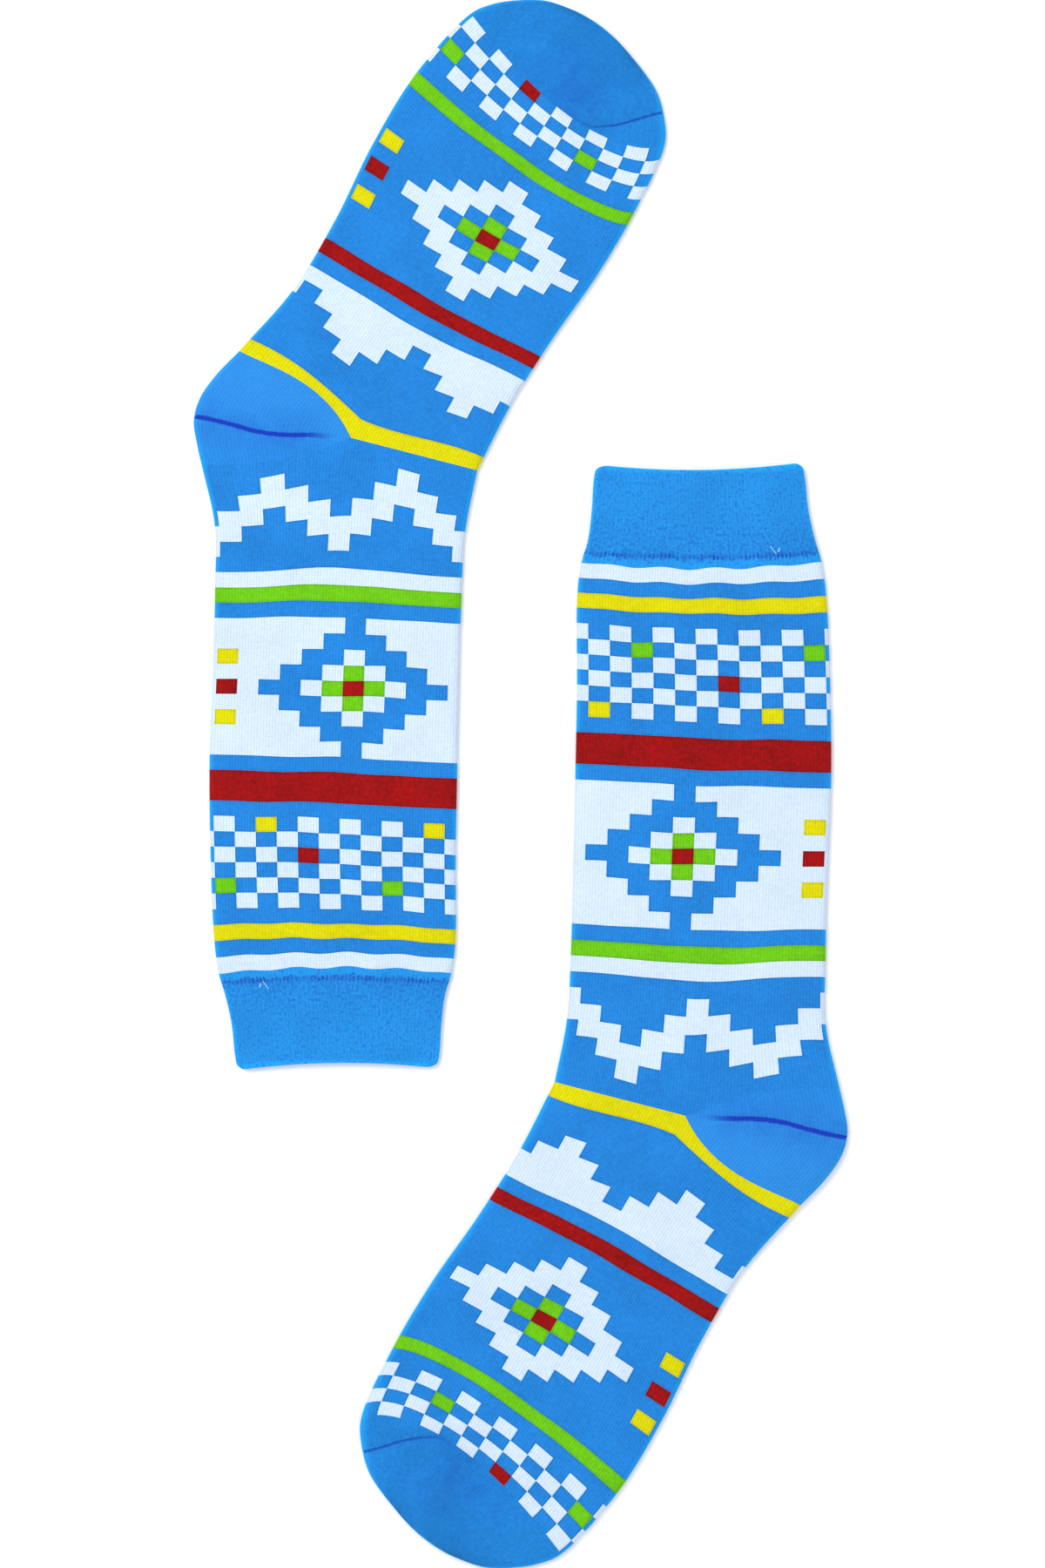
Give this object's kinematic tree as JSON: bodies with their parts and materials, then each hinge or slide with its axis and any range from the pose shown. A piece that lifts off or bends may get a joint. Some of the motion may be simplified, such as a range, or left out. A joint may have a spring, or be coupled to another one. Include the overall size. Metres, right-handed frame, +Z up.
{
  "type": "pair of crew socks",
  "caption": "Pair of knitted crew socks laid flat, toes pointing opposite ways, each a hollow tube with cuff, leg, turned heel, foot and closed toe.",
  "frame": {"origin": "middle of the pair, on the surface that the socks lie on", "axes": "+Z up from the surface, +Y along the legs towards the upper sock's toe, +X from the upper sock to the lower sock"},
  "size_m": [0.2478, 0.5942, 0.0066],
  "materials": {
    "cuff_rib": "fine ribbed knit, plain bright blue",
    "patterned_knit": "smooth jersey knit in blue with white, yellow, dark red and lime blocks",
    "heel_knit": "smooth jersey knit, plain blue",
    "toe_knit": "smooth jersey knit, plain blue, a little darker"
  },
  "bodies": {
    "root": {"upper_sock_cuff": "cuff_rib", "upper_sock_leg": "patterned_knit", "upper_sock_heel": "heel_knit", "upper_sock_foot": "patterned_knit", "upper_sock_toe": "toe_knit", "lower_sock_cuff": "cuff_rib", "lower_sock_leg": "patterned_knit", "lower_sock_heel": "heel_knit", "lower_sock_foot": "patterned_knit", "lower_sock_toe": "toe_knit"}
  },
  "joints": []
}
